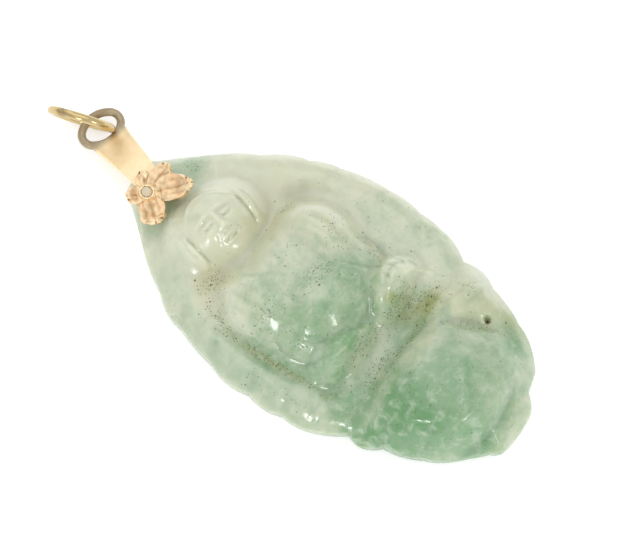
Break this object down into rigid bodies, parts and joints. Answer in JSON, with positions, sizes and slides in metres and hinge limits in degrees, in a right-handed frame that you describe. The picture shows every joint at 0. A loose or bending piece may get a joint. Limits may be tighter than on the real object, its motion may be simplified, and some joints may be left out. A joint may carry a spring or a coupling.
{
  "type": "jade buddha pendant",
  "caption": "Leaf shaped carved jade pendant with a seated Buddha in relief, a gold strap bail with a flower and a small stone, and a jump ring.",
  "frame": {"origin": "middle of the jade plaque's flat back", "axes": "+Y towards the bail along the plaque, +Z out of the carved face, +X to the viewer's right with the bail up"},
  "size_m": [0.0233, 0.0519, 0.007],
  "materials": {
    "jade": "polished, cloudy pale green jade",
    "rosy_gold": "satin rosy gold",
    "white_stone": "small cut white stone",
    "yellow_gold": "worn yellow gold wire"
  },
  "bodies": {
    "root": {"jade_carving": "jade", "bail": "rosy_gold", "flower_stone": "white_stone", "jump_ring": "yellow_gold"}
  },
  "joints": []
}
